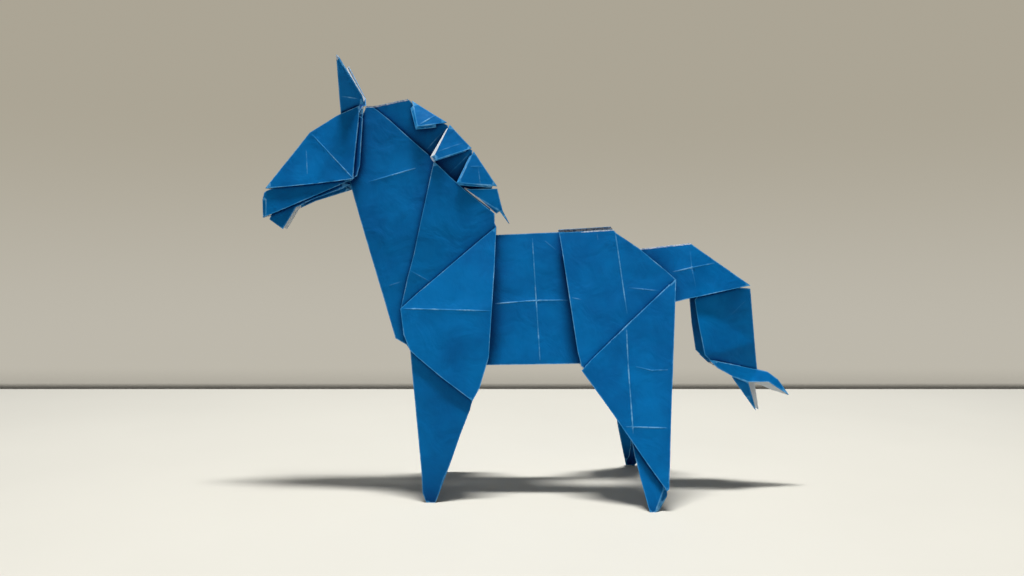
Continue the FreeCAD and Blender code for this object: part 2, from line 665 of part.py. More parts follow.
def hang(sheet, side, fold):
    """The part of the tail that hangs down: its back edge is a ridge, its front edge is open."""
    upper = slope_leaf.place(fold)
    turned = slope_leaf.place(fold, 0.3)
    hidden = from_spot(dock_corner, (1.6, 1.5), (3.5, 1.9), (5.4, 2.2))
    row = slope_leaf.place(hidden, 0.62)
    sheet.band(side, upper, turned)
    sheet.band(side, turned, slope_leaf.place(hidden, 0.31))
    sheet.band(side, slope_leaf.place(hidden, 0.31), row)
    front = [spot_at(dock_corner, -0.2, -0.7) + (2.6,), spot_at(dock_corner, 0.6, -6.3) + (3.6,),
             spot_at(tail_foot, -12.6, 3.8) + (tail_end_out,)]
    back = tail_back()
    sheet.panel(side, row + [back[0], front[0]])
    sheet.panel(side, [front[0], back[0], back[1]])
    sheet.panel(side, [front[0], back[1], front[1]])
    sheet.panel(side, [front[1], back[1], front[2]])
    sheet.panel(side, [front[2], back[1], back[2]])
    lower = [spot_at(tail_foot, -10.3, 1.6) + (3.6,), spot_at(tail_foot, -6.9, 0.7) + (2.5,),
             spot_at(tail_foot, -4.1, 0.1) + (1.55,)]
    sheet.panel(side, [front[2], back[2]] + lower[::-1])
    tail_end(sheet, side, lower)


def tail_end(sheet, side, valley):
    """The outermost layer at the foot of the tail, drawn out backwards into the first tip."""
    fold = cuff_end_leaf.place(from_spot(tail_foot, (-10.7, 2.55), (-6.7, 1.6), (-4.0, 0.95)))
    corner = cuff_end_leaf.place([cuff_corner])
    hinge = cuff_end_leaf.place(from_spot(tail_foot, (0.1, 0.0), (-2.4, -2.4)))
    turned = [(x, z, out - 0.3) for x, z, out in fold]
    lifted = [(x, z, out + 0.3) for x, z, out in valley]
    sheet.band(side, fold, turned)
    sheet.band(side, turned, lifted)
    sheet.band(side, lifted, valley)
    foot = cuff_end_leaf.place(from_spot(tail_foot, (-6.2, -0.95), (-9.7, 0.9)))
    sheet.panel(side, corner + fold + hinge + foot)
    ridge = tip_ridge()
    if side == NEAR:
        edge = [spot_at(tail_foot, 2.2, -2.5) + (1.4,), spot_at(tail_foot, 5.6, -4.7) + (0.8,)]
    else:
        edge = [spot_at(tail_foot, 1.4, -3.7) + (1.6,), spot_at(tail_foot, 3.9, -4.8) + (1.2,)]
    sheet.panel(side, [hinge[0]] + ridge + edge[::-1] + [hinge[1]])
    if side == NEAR:
        inner_tip(sheet, [foot[0], hinge[1]])


def tip_ridge():
    point = spot_at(tail_foot, outer_tip_length - 1.95, -5.7)
    return [spot_at(tail_foot, 2.4, -0.6) + (0.3,), spot_at(tail_foot, 4.6, -2.2) + (0.25,), point + (0.12,)]


def inner_tip(sheet, ledge):
    """The tip that points down: two narrow walls that share a ridge along its front."""
    point = spot_at(tail_foot, 0.5, 0.1 - inner_tip_length)
    top = [spot_at(tail_foot, -5.8, -1.4) + (1.6,), spot_at(tail_foot, -2.3, -2.7) + (1.9,)]
    sheet.band(NEAR, ledge, top)
    low_front = spot_at(point, -1.2, 0.8) + (0.9,)
    low_back = [spot_at(point, -1.0, 1.0) + (1.1,), spot_at(point, -0.7, 0.1) + (0.6,)]
    sheet.panel(NEAR, top + low_back + [low_front])
    inner = [spot_at(tail_foot, -5.4, -1.5) + (1.1,), spot_at(point, -0.95, 0.95) + (0.45,)]
    sheet.band(NEAR, [top[0], low_front], inner)
    far_back = [spot_at(tail_foot, -0.2, -3.1) + (-0.9,), spot_at(point, 0.1, 0.2) + (-0.2,)]
    sheet.panel(NEAR, [inner[0]] + far_back + [inner[1]])


# -------------------------------------------------------------------------------------------------------
# Mane
# -------------------------------------------------------------------------------------------------------

def mane_flap(sheet, ridge, corner, out, edge, lip, root):
    """A small roof over the neck's ridge. Its free edge turns under, at the lip, into a lower layer that runs
    up to the root, where it meets the innermost layer of the neck."""
    upper = Leaf(ridge[0] + (ridge_half,), ridge[-1] + (ridge_half,), corner + (out,))
    for side in (NEAR, FAR):
        sheet.panel(side, upper.place(ridge + edge[::-1]))
        sheet.band(side, upper.place(edge), upper.place(lip, flap_gap))
        sheet.panel(side, upper.place(lip + root[::-1], flap_gap))
        sheet.band(side, upper.place(root, flap_gap), mane_leaf.place(root))
    sheet.ridge(upper.place(ridge))


def mane(sheet):
    """The four flaps, from the poll down to the withers."""
    edge = from_spot(crown, (1.2, -1.4), (2.3, -6.1), (6.2, -5.42))
    lip = from_spot(crown, (0.8, -2.0), (2.05, -6.65), (6.2, -6.0))
    ridge = from_spot(crown, (0.9, -0.4), (8.4, -5.0))
    mane_flap(sheet, ridge, edge[1], mane_out - 0.4, edge, lip, flap_roots[0])
    edge = from_spot(crest, (3.0, 7.2), (0.2, 1.2), (0.5, 0.2), (7.1, 2.6))
    lip = from_spot(crest, (2.7, 7.0), (-0.6, 0.9), (0.1, -0.1), (6.7, 2.3))
    ridge = from_spot(crest, (3.3, 7.95), (6.45, 4.55), (8.0, 2.95))
    mane_flap(sheet, ridge, edge[1], mane_out + 0.3, edge, lip, flap_roots[1])
    edge = from_spot(withers, (-5.3, 15.5), (-8.0, 9.6), (-7.6, 9.4), (-0.8, 8.95))
    lip = from_spot(withers, (-5.7, 15.2), (-8.4, 9.4), (-7.9, 9.05), (-1.2, 8.65))
    ridge = from_spot(withers, (-4.9, 16.3), (0.1, 8.85))
    mane_flap(sheet, ridge, edge[1], mane_out, edge, lip, flap_roots[2])
    edge = from_spot(withers, (-6.4, 8.1), (-3.7, 6.2), (0.7, 3.4))
    lip = from_spot(withers, (-6.9, 8.4), (-4.35, 6.3), (0.06, 3.05))
    ridge = from_spot(withers, (0.15, 8.3), (1.35, 3.5), (2.8, 0.7))
    mane_flap(sheet, ridge, edge[0], mane_out - 0.6, edge, lip, flap_roots[3])


# -------------------------------------------------------------------------------------------------------
# Build and export
# -------------------------------------------------------------------------------------------------------

def folded_sheet():
    sheet = Sheet()
    for side in (NEAR, FAR):
        body(sheet, side)
        shoulder_and_foreleg(sheet, side)
        shank(sheet, side)
        crest_panel(sheet, side)
        neck(sheet, side)
        mane_base(sheet, side)
        brow(sheet, side)
        collar(sheet, side)
        face(sheet, side)
        ear(sheet, side)
        hip(sheet, side)
        thigh(sheet, side)
        shin(sheet, side)
        tail(sheet, side)
    back_ridge(sheet)
    mane_ridge(sheet)
    mane(sheet)
    nose_front(sheet)
    tail_ridges(sheet)
    return sheet.solid(paper_thickness)


def trimmed_level(shape):
    """The hoof tips are cut level, so that the horse stands on four small flat faces."""
    box = shape.BoundBox
    corner = Vector(box.XMin - 10, box.YMin - 10, 0)
    room = Part.makeBox(box.XLength + 20, box.YLength + 20, box.ZMax + 20, corner)
    return shape.common(room)


def centred(shape):
    box = shape.BoundBox
    shape.translate(Vector(-box.Center.x, -box.Center.y, -box.ZMin))
    return shape


os.makedirs("parts", exist_ok=True)
horse = centred(trimmed_level(folded_sheet()).Solids[0])
horse.exportStep("parts/folded_sheet.step")
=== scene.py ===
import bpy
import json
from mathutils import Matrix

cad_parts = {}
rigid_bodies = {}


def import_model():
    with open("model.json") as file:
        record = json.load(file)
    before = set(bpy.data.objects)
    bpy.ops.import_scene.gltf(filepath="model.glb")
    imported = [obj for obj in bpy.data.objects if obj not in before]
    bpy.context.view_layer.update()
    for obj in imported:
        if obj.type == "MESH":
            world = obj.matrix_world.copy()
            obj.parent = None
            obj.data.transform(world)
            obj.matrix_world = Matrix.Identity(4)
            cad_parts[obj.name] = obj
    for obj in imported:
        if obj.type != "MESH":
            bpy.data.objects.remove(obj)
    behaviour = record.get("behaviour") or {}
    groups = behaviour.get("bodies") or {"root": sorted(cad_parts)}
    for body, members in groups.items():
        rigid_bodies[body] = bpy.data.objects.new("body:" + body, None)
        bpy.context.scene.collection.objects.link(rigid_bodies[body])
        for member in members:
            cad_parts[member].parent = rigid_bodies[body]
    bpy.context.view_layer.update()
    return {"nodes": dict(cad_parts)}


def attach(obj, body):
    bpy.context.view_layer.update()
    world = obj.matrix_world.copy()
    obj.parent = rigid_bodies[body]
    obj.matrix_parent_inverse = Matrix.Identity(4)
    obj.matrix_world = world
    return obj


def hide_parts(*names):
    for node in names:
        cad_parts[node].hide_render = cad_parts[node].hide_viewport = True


bl_info = {
    "name": "Folded paper horse",
    "version": (1, 0, 0),
    "blender": (4, 5, 0),
    "location": "3D View > Sidebar > Paper horse",
    "description": "Dresses the folded sheet of a paper horse and sets up the table it stands on",
    "category": "Object",
}

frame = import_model()

import heapq
import itertools
import json
import math

import bmesh
import bpy
from bpy.props import FloatProperty, FloatVectorProperty, IntProperty, PointerProperty
from mathutils import Vector, noise
from mathutils.bvhtree import BVHTree

MM = 0.001
SHEET_NODE = "folded_sheet"
# The spots below are written from the withers, which lie this far along x from the middle, in mm.
WITHERS_X = -6.845


# -------------------------------------------------------------------------------------------------
# Settings
# -------------------------------------------------------------------------------------------------

class PaperSettings(bpy.types.PropertyGroup):
    face_colour: FloatVectorProperty(
        name="Face colour", description="Coloured side of the paper", subtype="COLOR", size=3,
        min=0.0, max=1.0, default=(0.0, 0.108, 0.335))
    face_light: FloatVectorProperty(
        name="Rubbed colour", description="Coloured side where handling has rubbed it paler",
        subtype="COLOR", size=3, min=0.0, max=1.0, default=(0.0, 0.154, 0.440))
    # Painted shade: the dark colour that the coloured side takes in recesses between layers.
    painted_shade_colour: FloatVectorProperty(
        name="Deep colour", description="Coloured side deep between two layers",
        subtype="COLOR", size=3, min=0.0, max=1.0, default=(0.0, 0.008, 0.085))
    edge_colour: FloatVectorProperty(
        name="Edge colour", description="Turned and cut edges of the paper",
        subtype="COLOR", size=3, min=0.0, max=1.0, default=(0.03, 0.27, 0.62))
    reverse_colour: FloatVectorProperty(
        name="Reverse colour", description="Bare side of the paper", subtype="COLOR", size=3,
        min=0.0, max=1.0, default=(0.62, 0.66, 0.70))
    # Pale colour along outer folds and creases: worn paper, and along outer folds partly a painted
    # highlight.
    fold_wear_and_highlight_colour: FloatVectorProperty(
        name="Fold colour", description="Outer folds, where the dye is stretched thin",
        subtype="COLOR", size=3, min=0.0, max=1.0, default=(0.02, 0.30, 0.66))
    # Palest colour where folds and creases are worn; along outer folds it is partly a painted
    # highlight.
    worn_and_highlight_colour: FloatVectorProperty(
        name="Worn fold colour", description="Paper fibre that shows where a fold is worn through",
        subtype="COLOR", size=3, min=0.0, max=1.0, default=(0.26, 0.56, 0.82))
    facet: FloatProperty(
        name="Facet size", description="Longest edge of the refined mesh", unit="LENGTH",
        subtype="DISTANCE", min=0.0004, max=0.005, default=0.0013)
    wave: FloatProperty(
        name="Wave", description="How far the paper bows away from flat between its folds",
        unit="LENGTH", subtype="DISTANCE", min=0.0, max=0.002, default=0.00035)
    wave_length: FloatProperty(
        name="Wave length", description="Size of the bows", unit="LENGTH", subtype="DISTANCE",
        min=0.002, max=0.1, default=0.016)
    crease_depth: FloatProperty(
        name="Crease depth", description="How far the paper stands up along a flattened crease",
        unit="LENGTH", subtype="DISTANCE", min=0.0, max=0.001, default=0.00012)
    seed: IntProperty(name="Seed", description="Seed of the bows", min=0, default=7)


class TableSettings(bpy.types.PropertyGroup):
    floor_colour: FloatVectorProperty(
        name="Floor colour", description="Colour of the table", subtype="COLOR", size=3,
        min=0.0, max=1.0, default=(0.60, 0.58, 0.515))
    low_colour: FloatVectorProperty(
        name="Low backdrop colour", description="Colour behind the table, near its edge",
        subtype="COLOR", size=3, min=0.0, max=1.0, default=(0.51, 0.48, 0.41))
    high_colour: FloatVectorProperty(
        name="High backdrop colour", description="Colour behind the table, higher up",
        subtype="COLOR", size=3, min=0.0, max=1.0, default=(0.41, 0.375, 0.30))
    table_reach: FloatProperty(
        name="Table reach", description="From the horse to the other three edges of the table",
        unit="LENGTH", subtype="DISTANCE", min=0.2, max=3.0, default=0.42)
    table_end: FloatProperty(
        name="Table end", description="From the horse to the back edge of the table", unit="LENGTH",
        subtype="DISTANCE", min=0.05, max=3.0, default=0.117)
    key_power: FloatProperty(
        name="Key light", description="Power of the lamp above", unit="POWER", min=0.0,
        default=5.2)
    fill_power: FloatProperty(
        name="Fill light", description="Power of the lamp in front", unit="POWER", min=0.0,
        default=1.25)
    back_power: FloatProperty(
        name="Back light", description="Power of the lamp behind", unit="POWER", min=0.0,
        default=0.7)
    air: FloatProperty(
        name="Room light", description="Even light from all round", min=0.0, max=2.0, default=0.11)


# -------------------------------------------------------------------------------------------------
# Creases and worn places of the sheet, as spots (x, z) in millimetres from the withers
# -------------------------------------------------------------------------------------------------

# The materials, by their place in the mesh's list: coloured side, bare side, raw edge.
FACE, REVERSE, RIM = 0, 1, 2

# The two halves of the horse, by the sign of y.
NEAR, FAR = -1, 1
BOTH = (NEAR, FAR)

# Each crease: the halves that have it, how strongly it shows from 0 to 1, and its row of spots.
CREASES = (
    # head and ears
    (BOTH, 0.8, ((-33.4, 85.8), (-29.6, 85.3))),
    (BOTH, 0.9, ((-40.1, 78.0), (-35.2, 73.0), (-30.4, 68.1))),
    (BOTH, 0.5, ((-41.2, 74.8), (-40.7, 69.2))),
    # neck
    (BOTH, 0.9, ((-27.4, 67.5), (-22.1, 69.1), (-17.2, 70.6))),
    (BOTH, 0.4, ((-23.2, 45.2), (-20.4, 46.1))),
    (BOTH, 0.5, ((-18.5, 48.6), (-14.2, 46.1))),
    # mane
    (BOTH, 1.0, ((-12.9, 82.2), (-16.7, 79.7))),
    (BOTH, 0.3, ((-12.8, 73.9), (-7.1, 76.1))),
    (BOTH, 1.0, ((-5.8, 70.9), (-3.0, 71.0))),
    (BOTH, 0.4, ((-3.9, 70.6), (-3.4, 66.9))),
    (BOTH, 0.4, ((-10.9, 79.3), (-15.1, 74.8))),
    (BOTH, 0.4, ((-5.9, 73.7), (-10.3, 69.4))),
    # shoulder and barrel
    (BOTH, 1.0, ((-20.0, 40.4), (-1.0, 40.0))),
    (BOTH, 0.9, ((7.9, 55.6), (8.7, 41.9), (9.5, 28.8))),
    (BOTH, 1.0, ((-0.2, 41.2), (8.7, 41.9), (15.6, 42.0))),
    (BOTH, 0.5, ((10.7, 54.8), (13.1, 52.8))),
    # hip and hind leg
    (BOTH, 0.9, ((25.8, 56.3), (26.9, 47.4), (27.9, 39.3))),
    (BOTH, 1.0, ((27.6, 36.4), (27.8, 27.6), (28.4, 15.1))),
    (BOTH, 0.7, ((29.2, 28.6), (32.6, 27.8), (36.3, 28.0))),
    (BOTH, 0.8, ((26.7, 16.5), (35.7, 16.5))),
    (BOTH, 0.6, ((28.6, 44.8), (34.7, 44.2))),
    (BOTH, 0.7, ((16.3, 42.7), (18.4, 42.3))),
    (BOTH, 0.4, ((21.9, 56.4), (22.0, 55.1))),
    # tail
    (BOTH, 0.8, ((38.5, 48.1), (42.4, 49.0), (47.8, 50.0))),
    (BOTH, 0.4, ((42.4, 52.8), (42.6, 48.9), (43.3, 44.6))),
    (BOTH, 0.3, ((51.0, 38.2), (54.9, 41.8))),
)

# Where one leaf stands for paper folded double, or a layer shows its other side: the halves, the
# side that the folds give, the side that it gets, and the range of x, of z and of upward lean.
SIDE_CHANGES = (
    # both leaves of the tail and the rump
    (BOTH, REVERSE, FACE, (36.0, 58.0), (27.0, 55.0), (-1.0, 1.0)),
    # inside of the hip flap
    (BOTH, REVERSE, FACE, (13.0, 27.0), (40.0, 60.0), (-1.0, 1.0)),
    # turned hoof of the hind leg
    (BOTH, REVERSE, FACE, (28.0, 37.0), (-1.0, 16.0), (-1.0, 1.0)),
    # cheek and throat
    (BOTH, REVERSE, FACE, (-40.0, -28.0), (62.0, 76.0), (-1.0, 1.0)),
    # foot of the ears
    (BOTH, REVERSE, FACE, (-32.0, -26.0), (81.0, 86.4), (-1.0, 1.0)),
    # turned corner beside the second flap of the mane
    (BOTH, FACE, REVERSE, (-14.5, -10.3), (71.5, 79.3), (0.35, 1.0)),
    # underside of the last flap of the mane
    (BOTH, FACE, REVERSE, (-7.0, 0.8), (60.8, 66.5), (-1.0, -0.4)),
)

# Edges rubbed bare: the halves, the least distance out from the middle plane and the width of the
# bare band, both in millimetres, and its row of spots.
BARE_EDGES = (
    # top of the neck
    (BOTH, 0.0, 0.40, ((-28.3, 84.0), (-26.8, 84.0), (-19.2, 85.5))),
    # ridge of the rump
    (BOTH, 0.0, 0.32, ((31.4, 53.1), (42.5, 54.3))),
    # tops of the hip flaps
    ((NEAR,), 2.0, 0.30, ((13.7, 56.6), (25.3, 57.3))),
    ((FAR,), 1.0, 0.80, ((13.7, 57.3), (25.3, 58.0))),
    # tips of the ears
    (BOTH, 1.0, 0.60, ((-33.4, 93.8), (-33.4, 93.2))),
    # foot of the turned corner of the mane
    (BOTH, 0.0, 0.35, ((-14.0, 72.9), (-13.3, 71.9))),
)


def side_spot(x, z):
    """A spot in millimetres from the withers, as a point in the middle plane."""
    return Vector(((x + WITHERS_X) * MM, 0.0, z * MM))


def crease_segments():
    """Each stretch of crease: its half, strength, start and end, and the whole crease's ends."""
    out = []
    for halves, strength, spots in CREASES:
        row = [side_spot(x, z) for x, z in spots]
        for half in halves:
            for start, end in zip(row[:-1], row[1:]):
                out.append((half, strength, start, end, (row[0], row[-1])))
    return out


# -------------------------------------------------------------------------------------------------
# Which side of the paper each face lies on
# -------------------------------------------------------------------------------------------------

# Corners of the frame's mesh that lie closer than this are one corner.
WELD = 2e-6
# How far behind a face the other side of its leaf is looked for, and where that search starts.
PAPER_REACH = 0.22 * MM
JUST_INSIDE = 1e-6
# Two faces are back to back below the first product of their normals, and level above the second.
BACK_TO_BACK = -0.9
LEVEL = 0.999
# A triangle narrower than this may belong to the turn of a fold.
FOLD_WIDTH = 0.28 * MM


class Sides:
    """Keeps, for each face, whether it lies on the same side of the paper as its group's root."""

    def __init__(self, count):
        self.parent = list(range(count))
        self.flip = [0] * count

    def find(self, face):
        """The root of a face's group, and 1 where the face is on the other side of the paper."""
        flips = 0
        while self.parent[face] != face:
            flips ^= self.flip[face]
            face = self.parent[face]
        return face, flips

    def tie(self, a, b, opposite):
        """Joins the groups of two faces. A tie within one group changes nothing."""
        root_a, flip_a = self.find(a)
        root_b, flip_b = self.find(b)
        if root_a != root_b:
            self.parent[root_b] = root_a
            self.flip[root_b] = flip_a ^ flip_b ^ opposite


def narrowest(face):
    """The least width of a triangle."""
    return 2 * face.calc_area() / max(edge.calc_length() for edge in face.edges)


def faces_through_the_paper(bm):
    """For each face of a leaf, the face on the other side of the paper. Raw edges have none."""
    tree = BVHTree.FromBMesh(bm)
    behind = {}
    for face in bm.faces:
        start = face.calc_center_median() - face.normal * JUST_INSIDE
        spot, normal, index, _ = tree.ray_cast(start, -face.normal, PAPER_REACH)
        if spot is not None and normal.dot(face.normal) < BACK_TO_BACK:
            behind[face.index] = index
    return behind


def tied_sides(bm, behind):
    """Ties each face to its neighbours and to the face behind it, the surest ties first."""
    # Each link holds its rank, its two faces, and 1 where they lie on opposite sides of the paper.
    links = []
    for edge in bm.edges:
        pair = [face for face in edge.link_faces if face.index in behind]
        if len(pair) == 2:
            sure = min(map(narrowest, pair)) > FOLD_WIDTH
            links.append((0 if sure else 2, pair[0].index, pair[1].index, 0))
    for index, other in behind.items():
        sure = narrowest(bm.faces[index]) > FOLD_WIDTH
        links.append((1 if sure else 3, index, other, 1))
    sides = Sides(len(bm.faces))
    for _, a, b, opposite in sorted(links):
        sides.tie(a, b, opposite)
    return sides


def outward(face):
    """How far a face looks away from the middle of the horse, by its area."""
    away = 1 if face.calc_center_median().y > 0 else -1
    return face.calc_area() * face.normal.y * away


def sides_beside(face):
    """The sides of the paper that a strip touches along its long edges, whole strips at a time."""
    found = set()
    todo = [face]
    seen = {face}
    while todo:
        for edge in todo.pop().edges:
            if edge.calc_length() < FOLD_WIDTH:
                continue
            for other in edge.link_faces:
                if other in seen:
                    continue
                seen.add(other)
                if other.material_index != RIM:
                    found.add(other.material_index)
                elif other.normal.dot(face.normal) > LEVEL:
                    todo.append(other)
    return found


def sides_of_the_sheet(bm):
    """Marks each face as the coloured side, the bare side or the raw edge of the paper."""
    bm.faces.ensure_lookup_table()
    behind = faces_through_the_paper(bm)
    sides = tied_sides(bm, behind)
    weight = {}
    for index in behind:
        root, flip = sides.find(index)
        share = outward(bm.faces[index])
        weight[root] = weight.get(root, 0.0) + (share if flip == 0 else -share)
    for face in bm.faces:
        face.material_index = RIM
        if face.index in behind:
            root, flip = sides.find(face.index)
            face.material_index = FACE if (weight[root] > 0) == (flip == 0) else REVERSE
    rims = [face for face in bm.faces if face.material_index == RIM]
    turns = [face for face in rims if sides_beside(face) == {FACE}]
    for face in turns:
        face.material_index = FACE


def half_of(spot):
    """The half of the horse that a spot lies in."""
    return FAR if spot.y > 0 else NEAR


def change_sides(bm):
    """Makes the changes of side that are listed above."""
    for face in bm.faces:
        middle = face.calc_center_median()
        place = (middle.x / MM - WITHERS_X, middle.z / MM, face.normal.z)
        for halves, side, becomes, *bounds in SIDE_CHANGES:
            inside = all(low <= value <= high for value, (low, high) in zip(place, bounds))
            if inside and face.material_index == side and half_of(middle) in halves:
                face.material_index = becomes
                break


# -------------------------------------------------------------------------------------------------
# Finer mesh, creases and the bows of the paper
# -------------------------------------------------------------------------------------------------

# An edge that turns more than this is a fold.
FOLD_ANGLE = math.radians(24)
# A crease is cut into the mesh along its line and this far to each side.
CREASE_HALF_WIDTH = 0.35 * MM
ON_THE_LINE = 0.02 * MM
ON_THE_CUT = 1e-6
# The paper slopes away from a crease over this distance.
CREASE_REACH = 2.4 * MM
# A crease starts with this share of its strength at its ends, and gains the rest over the fade.
CREASE_START = 0.25
CREASE_FADE = 3.0 * MM
# Distances are stored in millimetres, up to this one. FAR_OFF, in metres, stands for no distance.
FARTHEST_MM = 3.0
FAR_OFF = 1.0
# Stands in for the share of a half without bare edges.
NO_BARE_EDGE = 9.0
# The bows fade out over this height above the feet.
FEET_HEIGHT = 6 * MM
# The finer bows: their scale, their place in the noise, and their share of the broad ones' push.
FINE_SCALE = 2.3
FINE_PLACE = (9.0, 4.0, 2.0)
FINE_SHARE = 0.35
# The noise's own seed is the paper's seed and this, because a seed of 0 stands for the clock.
SEED_START = 1
# How far a step of the seed moves the bows, and the share of the push that goes along the leaf.
SEED_STEP = (3.1, 1.7)
SIDEWAYS = 0.2


def distance_to_segment(spot, start, end):
    """Distance of a spot to the line between two points."""
    along = end - start
    share = (spot - start).dot(along) / max(along.length_squared, 1e-12)
    return (spot - start - along * min(1.0, max(0.0, share))).length


def seen_from_the_side(spot):
    """The spot moved into the middle plane."""
    return Vector((spot.x, 0.0, spot.z))


def mark_folds(bm):
    """Marks the folds as sharp. Returns the layer that keeps the coloured side's outer folds."""
    fold = bm.edges.layers.int.new("fold")
    for edge in bm.edges:
        if len(edge.link_faces) != 2:
            continue
        turned = edge.calc_face_angle_signed(0.0)
        edge.smooth = abs(turned) < FOLD_ANGLE
        kinds = {face.material_index for face in edge.link_faces}
        if turned > FOLD_ANGLE and kinds == {FACE}:
            edge[fold] = 1
        if FACE in kinds and RIM in kinds:
            edge[fold] = 1
    return fold


def score_creases(bm, segments):
    """Cuts the mesh along each crease and just beside it, so that the crease can stand up."""
    for half, _, start, end, _ in segments:
        along = (end - start).normalized()
        across = Vector((-along.z, 0.0, along.x))
        for shift in (-CREASE_HALF_WIDTH, 0.0, CREASE_HALF_WIDTH):
            near = [face for face in bm.faces if crosses(face, half, start, end, along, across)]
            geometry = set(near)
            for face in near:
                geometry.update(face.edges)
                geometry.update(face.verts)
            bmesh.ops.bisect_plane(
                bm, geom=list(geometry), dist=ON_THE_CUT, plane_co=start + across * shift,
                plane_no=across)


def crosses(face, half, start, end, along, across):
    """Whether a leaf's face on that half of the horse reaches over the crease from start to end."""
    if face.material_index == RIM or face.calc_center_median().y * half < 0:
        return False
    shares = [(vert.co - start).dot(along) for vert in face.verts]
    offs = [(vert.co - start).dot(across) for vert in face.verts]
    reach = (end - start).length
    return (min(offs) < CREASE_HALF_WIDTH and max(offs) > -CREASE_HALF_WIDTH
            and min(shares) < reach and max(shares) > 0)


def refine(bm, facet):
    """Splits the longest edge and the triangles beside it, until none is longer than the facet."""
    bmesh.ops.triangulate(bm, faces=bm.faces)
    count = itertools.count()
    heap = [(-edge.calc_length(), next(count), edge) for edge in bm.edges]
    heapq.heapify(heap)
    while heap and -heap[0][0] > facet:
        edge = heapq.heappop(heap)[2]
        beside = list(edge.link_faces)
        ends = set(edge.verts)
        tips = [next(vert for vert in face.verts if vert not in ends) for face in beside]
        rest, middle = bmesh.utils.edge_split(edge, edge.verts[0], 0.5)
        made = [edge, rest]
        for face, tip in zip(beside, tips):
            made.append(bmesh.utils.face_split(face, middle, tip)[1].edge)
        for piece in made:
            heapq.heappush(heap, (-piece.calc_length(), next(count), piece))


def spread_distance(bm, sources, stays):
    """Distance of each vertex to the nearest segment, passed on from vertex to vertex."""
    best = {}
    heap = []
    for vert, start, end in sources:
        heapq.heappush(heap, (0.0, vert.index, start, end))
    while heap:
        distance, index, start, end = heapq.heappop(heap)
        if index in best:
            continue
        best[index] = distance
        for edge in bm.verts[index].link_edges:
            other = edge.other_vert(bm.verts[index])
            if other.index in best or not stays(edge):
                continue
            further = distance_to_segment(other.co, start, end)
            if further < FARTHEST_MM * MM:
                heapq.heappush(heap, (further, other.index, start, end))
    return best


def fold_distances(bm, fold):
    """Distance of each vertex of the coloured side to the nearest outer fold."""
    sources = []
    for edge in bm.edges:
        if edge[fold]:
            start, end = edge.verts
            sources.append((start, start.co.copy(), end.co.copy()))
            sources.append((end, start.co.copy(), end.co.copy()))
    return spread_distance(
        bm, sources, lambda edge: any(face.material_index == FACE for face in edge.link_faces))


def crease_distances(bm, segments):
    """Distance of each vertex to its leaf's nearest crease, and how strongly that crease shows."""
    nearest = {}
    for half, strength, start, end, tips in segments:
        sources = [
            vert for vert in bm.verts if vert.co.y * half > 0
            and distance_to_segment(seen_from_the_side(vert.co), start, end) < ON_THE_LINE]
        for vert, distance in spread_beside(sources, start, end).items():
            if distance < nearest.get(vert, (FAR_OFF, 0.0))[0]:
                to_tip = min((seen_from_the_side(vert.co) - tip).length for tip in tips)
                share = min(1.0, CREASE_START + to_tip / CREASE_FADE)
                nearest[vert] = (distance, strength * share)
    return nearest


def spread_beside(sources, start, end):
    """The vertices of the same leaf within reach of a crease, with their distance from it."""
    reached = {vert: 0.0 for vert in sources}
    todo = list(sources)
    while todo:
        vert = todo.pop()
        for edge in vert.link_edges:
            other = edge.other_vert(vert)
            if other in reached or not edge.smooth:
                continue
            distance = distance_to_segment(seen_from_the_side(other.co), start, end)
            if distance < FARTHEST_MM * MM:
                reached[other] = distance
                todo.append(other)
    return reached


def bare_share(spot):
    """Distance of a spot to the nearest bare edge, as a share of that edge's width."""
    share = NO_BARE_EDGE
    flat = seen_from_the_side(spot)
    for halves, out, width, row in BARE_EDGES:
        if half_of(spot) in halves and abs(spot.y) >= out * MM:
            ends = [side_spot(x, z) for x, z in row]
            for start, end in zip(ends[:-1], ends[1:]):
                share = min(share, distance_to_segment(flat, start, end) / (width * MM))
    return share


def bow(spot, paper):
    """How far the bows push the paper off its flat place at a spot. They fade out at the feet."""
    fade = min(1.0, max(0.0, spot.z / FEET_HEIGHT))
    place = spot / paper.wave_length + Vector((*(paper.seed * step for step in SEED_STEP), 0.0))
    broad = noise.noise_vector(place)
    fine = noise.noise_vector(place * FINE_SCALE + Vector(FINE_PLACE))
    push = broad + fine * FINE_SHARE
    return Vector((push.x * SIDEWAYS, push.y, push.z * SIDEWAYS)) * paper.wave * fade


def wear_numbers(bm, to_fold, to_crease):
    """For each vertex in turn, the numbers that the coloured side's material reads."""
    numbers = {"fold_mm": [], "crease_mm": [], "crease_strength": [], "bare_share": []}
    for vert in bm.verts:
        distance, strength = to_crease.get(vert, (FAR_OFF, 0.0))
        fold_distance = to_fold.get(vert.index, FAR_OFF)
        numbers["fold_mm"].append(min(FARTHEST_MM, fold_distance / MM))
        numbers["crease_mm"].append(min(FARTHEST_MM, distance / MM))
        numbers["crease_strength"].append(strength)
        numbers["bare_share"].append(bare_share(vert.co))
    return numbers


def shape_paper(bm, to_crease, paper):
    """Lifts the paper along its creases and bows it in between."""
    noise.seed_set(paper.seed + SEED_START)
    for vert in bm.verts:
        distance, strength = to_crease.get(vert, (FAR_OFF, 0.0))
        lift = paper.crease_depth * strength * max(0.0, 1.0 - distance / CREASE_REACH) ** 2
        vert.co.y += math.copysign(lift, vert.co.y)
        vert.co += bow(vert.co, paper)
    for face in bm.faces:
        face.smooth = True


def keep_number(mesh, name, values):
    """Stores one number for each vertex of a mesh, for its material to read."""
    layer = mesh.attributes.new(name, "FLOAT", "POINT")
    layer.data.foreach_set("value", values)


# -------------------------------------------------------------------------------------------------
# Materials
# -------------------------------------------------------------------------------------------------

